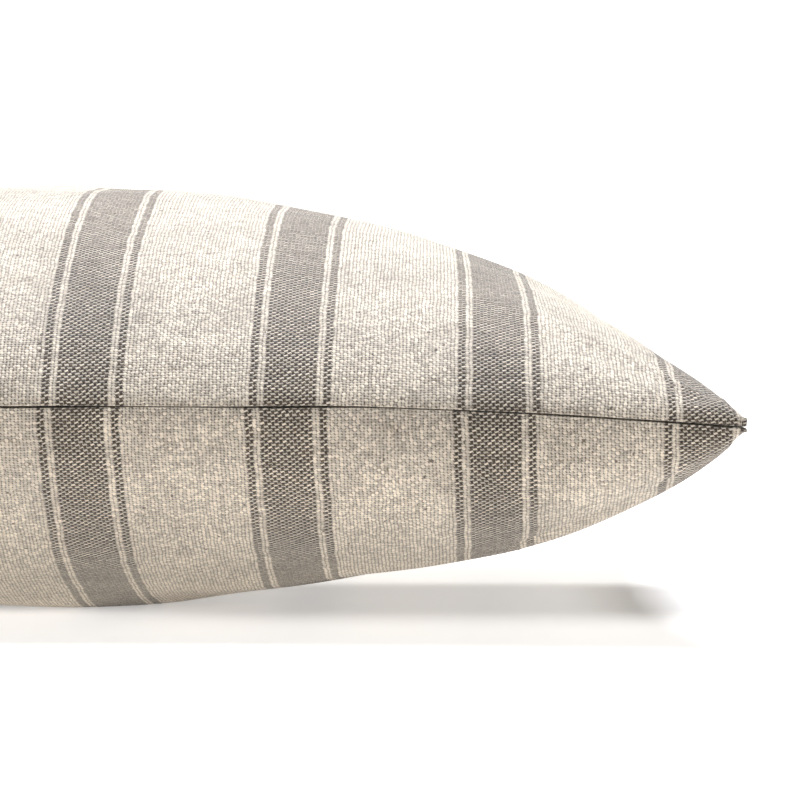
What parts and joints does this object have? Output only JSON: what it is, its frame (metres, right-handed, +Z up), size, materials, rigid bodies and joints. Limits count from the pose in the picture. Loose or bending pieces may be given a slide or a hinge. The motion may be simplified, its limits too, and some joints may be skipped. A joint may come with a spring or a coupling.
{
  "type": "throw pillow",
  "caption": "Square striped throw pillow with a knife-edge seam, a concealed zipper in its back side and a removable fibre-filled insert.",
  "frame": {"origin": "centre of the pillow's box in plan, on the surface that it rests on", "axes": "+Z up through the crown with the pillow lying flat, +Y towards the zipper side, +X along the zipper towards its open end"},
  "size_m": [0.442, 0.442, 0.139],
  "materials": {
    "cover_cloth": "plain weave with slubs and woven stripes, matt",
    "sewing_thread": "spun polyester thread, low sheen",
    "zipper_tape": "fine twill tape, matt",
    "zipper_coil": "nylon, slight sheen",
    "zipper_metal": "enamelled zinc, satin",
    "stop_metal": "plain formed wire, satin",
    "label_cloth": "blank satin tape",
    "casing_cloth": "plain cotton, matt",
    "fibre": "polyester fibre, matt"
  },
  "bodies": {
    "root": {"cover_top_panel": "cover_cloth", "cover_bottom_panel": "cover_cloth", "cover_seam_thread": "sewing_thread", "cover_overlock_thread": "sewing_thread", "zipper_tape_upper": "zipper_tape", "zipper_tape_lower": "zipper_tape", "zipper_coil_upper": "zipper_coil", "zipper_coil_lower": "zipper_coil", "zipper_stitching_upper": "sewing_thread", "zipper_stitching_lower": "sewing_thread", "zipper_top_stops": "stop_metal", "zipper_bottom_stop": "stop_metal", "zipper_end_bartacks": "sewing_thread", "care_label": "label_cloth", "care_label_stitching": "sewing_thread", "insert_casing_top": "casing_cloth", "insert_casing_bottom": "casing_cloth", "insert_seam_thread": "sewing_thread", "insert_overlock_thread": "sewing_thread", "insert_closing_seam": "sewing_thread", "insert_label": "label_cloth", "fibre_fill": "fibre"},
    "slider": {"zipper_slider": "zipper_metal"},
    "pull": {"zipper_pull_tab": "zipper_metal"}
  },
  "joints": [
    {"name": "zipper_slide", "type": "slide", "parent": "root", "child": "slider", "axis": [1, 0, 0], "range_m": [0, 0.314]},
    {"name": "pull_swing", "type": "hinge", "parent": "slider", "child": "pull", "pos_m": [-0.157, 0.2122, 0.07], "axis": [0, 0, 1], "range_deg": [0, 175]}
  ]
}
